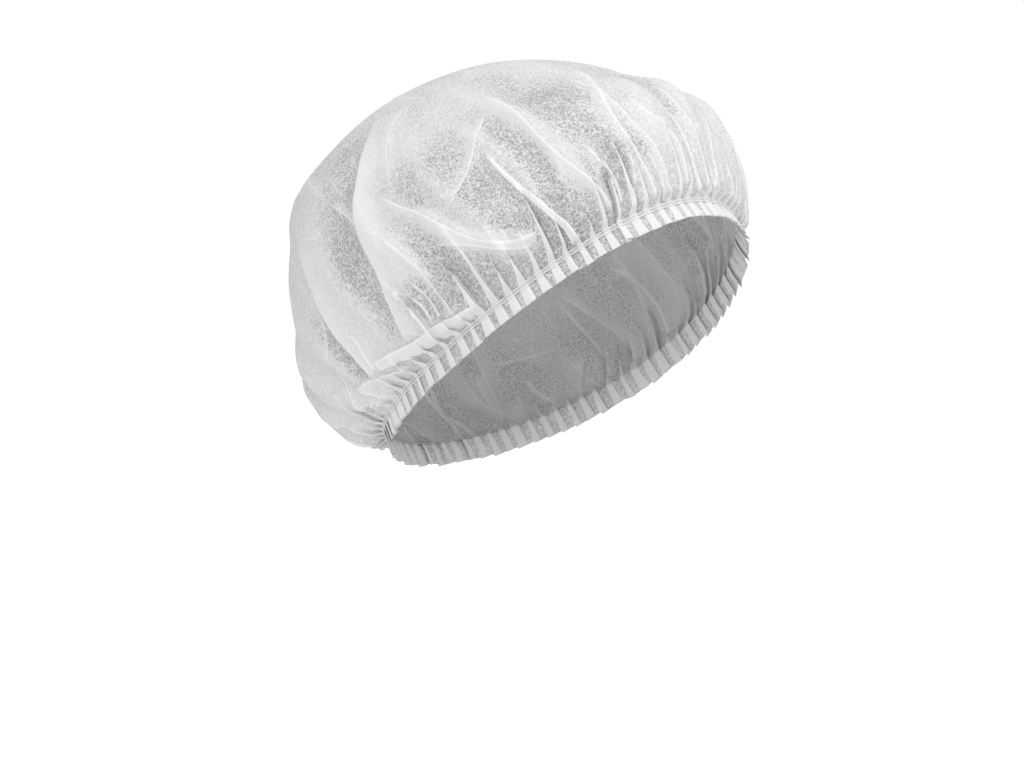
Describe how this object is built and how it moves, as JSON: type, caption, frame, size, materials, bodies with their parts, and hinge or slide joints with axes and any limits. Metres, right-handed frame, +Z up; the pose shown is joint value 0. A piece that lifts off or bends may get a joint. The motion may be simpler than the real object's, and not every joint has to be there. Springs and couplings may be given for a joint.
{
  "type": "disposable hair cover cap",
  "caption": "Bouffant hair cover: a full crown of thin nonwoven cloth, gathered into an egg-shaped head opening by a sewn elastic band, with a short free ruffle below the band.",
  "frame": {"origin": "centre of the egg-shaped head opening, in the middle of the elastic band's height, where the cap sits on a head", "axes": "+Z up with the cap worn level, -Y towards the wearer's face, +X to the wearer's left; the opening is tilted, higher at the forehead than at the nape"},
  "size_m": [0.2159, 0.2416, 0.1986],
  "materials": {
    "nonwoven": "matte",
    "elastic": "matte"
  },
  "bodies": {
    "root": {"cap_cloth": "nonwoven", "elastic_band": "elastic"}
  },
  "joints": []
}
